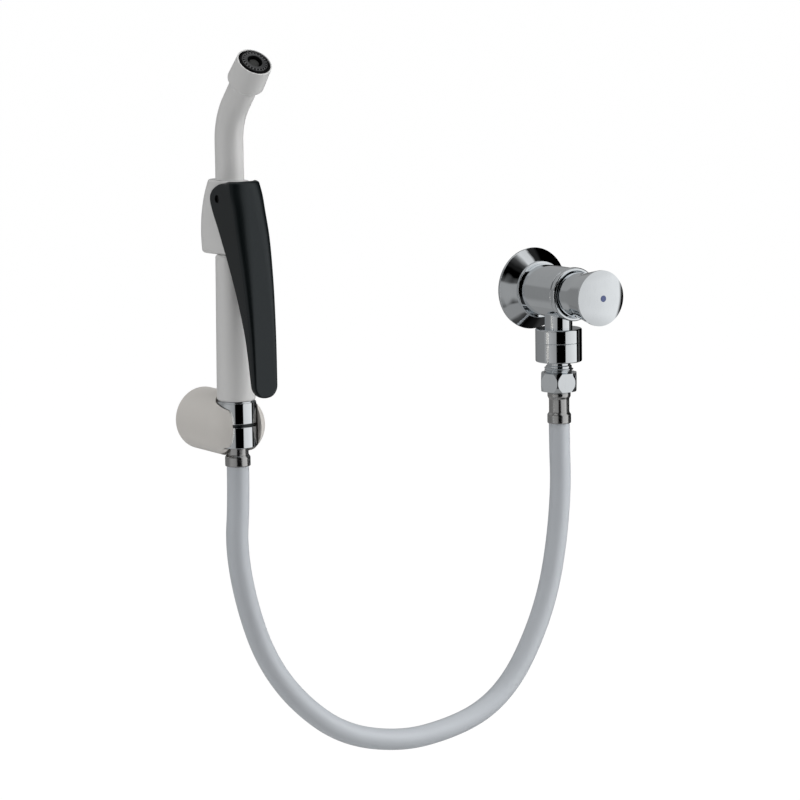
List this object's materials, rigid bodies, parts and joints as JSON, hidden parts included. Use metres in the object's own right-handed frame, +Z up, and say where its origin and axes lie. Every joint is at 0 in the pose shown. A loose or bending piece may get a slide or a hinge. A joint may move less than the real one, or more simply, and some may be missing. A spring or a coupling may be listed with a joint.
{
  "type": "hand shower",
  "caption": "Trigger hand shower with an angled spout, resting in a round wall cradle and fed through a smooth hose by a wall-mounted push valve with a vacuum breaker.",
  "frame": {"origin": "On the wall plane, on the axis of the push valve's threaded inlet.", "axes": "+X runs along the wall from the handset towards the valve, +Y points into the wall, +Z is up; the room is on the -Y side."},
  "size_m": [0.3272, 0.1032, 0.4972],
  "materials": {
    "white_gloss": "white moulded plastic, satin to gloss",
    "white_holder": "slightly warm white moulded plastic, satin",
    "black_gloss": "near-black moulded plastic, soft gloss",
    "grey_plastic": "grey moulded plastic",
    "polished_chrome": "polished chrome plate on brass",
    "steel_sleeve": "crimped sleeve, brushed, slightly brown steel",
    "steel_plain": "plain stainless steel",
    "blackened_steel": "blackened steel pin ends",
    "brass_plain": "plain turned brass",
    "rubber_black": "black sealing rubber",
    "white_inner": "plain white moulding, hidden",
    "blue_mark": "blue plastic mark for cold water",
    "hose_skin": "smooth pale blue-grey plastic hose"
  },
  "bodies": {
    "wall_set": {"bonnet_ring": "polished_chrome", "breaker_cap": "polished_chrome", "breaker_cone": "white_inner", "breaker_cup": "polished_chrome", "breaker_disc": "rubber_black", "cartridge": "brass_plain", "cartridge_seal": "rubber_black", "escutcheon": "polished_chrome", "holder_body": "white_holder", "holder_screws": "steel_plain", "hose": "hose_skin", "hose_nut": "polished_chrome", "inlet_strainer": "steel_plain", "outlet_washer": "rubber_black", "return_spring": "steel_plain", "stem_seal": "rubber_black", "valve_body": "polished_chrome", "valve_ferrule": "steel_sleeve", "valve_tail": "brass_plain"},
    "handset": {"grip_tube": "white_gloss", "valve_housing": "white_gloss", "spout_tube": "white_gloss", "spray_collar": "white_gloss", "spray_face": "black_gloss", "spray_core": "grey_plastic", "flow_strainer": "steel_plain", "collar_seal": "rubber_black", "spout_seal": "rubber_black", "pivot_pins": "blackened_steel", "plunger_seal": "rubber_black", "gland_nut": "brass_plain", "valve_seat": "brass_plain", "valve_spring": "steel_plain", "inlet_union": "polished_chrome", "union_ring": "black_gloss", "handset_nut": "polished_chrome", "handset_washer": "rubber_black", "handset_tail": "brass_plain", "handset_ferrule": "steel_sleeve"},
    "lever": {"trigger_lever": "black_gloss"},
    "plunger_group": {"plunger": "steel_plain", "plunger_disc": "rubber_black"},
    "button": {"push_button": "polished_chrome", "button_dot": "blue_mark", "stem": "steel_plain", "stem_disc": "rubber_black"}
  },
  "joints": [
    {"name": "handset_lift", "type": "slide", "parent": "wall_set", "child": "handset", "axis": [0, 0, 1], "range_m": [0, 0.04]},
    {"name": "lever_squeeze", "type": "hinge", "parent": "handset", "child": "lever", "pos_m": [-0.2765, -0.048, 0.0855], "axis": [1, 0, 0], "range_deg": [0, 6.5], "stiffness_Nm_per_rad": 4, "springref_deg": -5.73},
    {"name": "plunger_push", "type": "slide", "parent": "handset", "child": "plunger_group", "axis": [0, 1, 0], "range_m": [0, 0.0031], "deforming": ["valve_spring"]},
    {"name": "button_push", "type": "slide", "parent": "wall_set", "child": "button", "axis": [0, 1, 0], "range_m": [0, 0.008], "stiffness_N_per_m": 1500, "springref_m": -0.012, "deforming": ["return_spring"]}
  ],
  "couplings": [
    {"joint": "plunger_push", "follows": "lever_squeeze", "m_per_rad": 0.027}
  ]
}
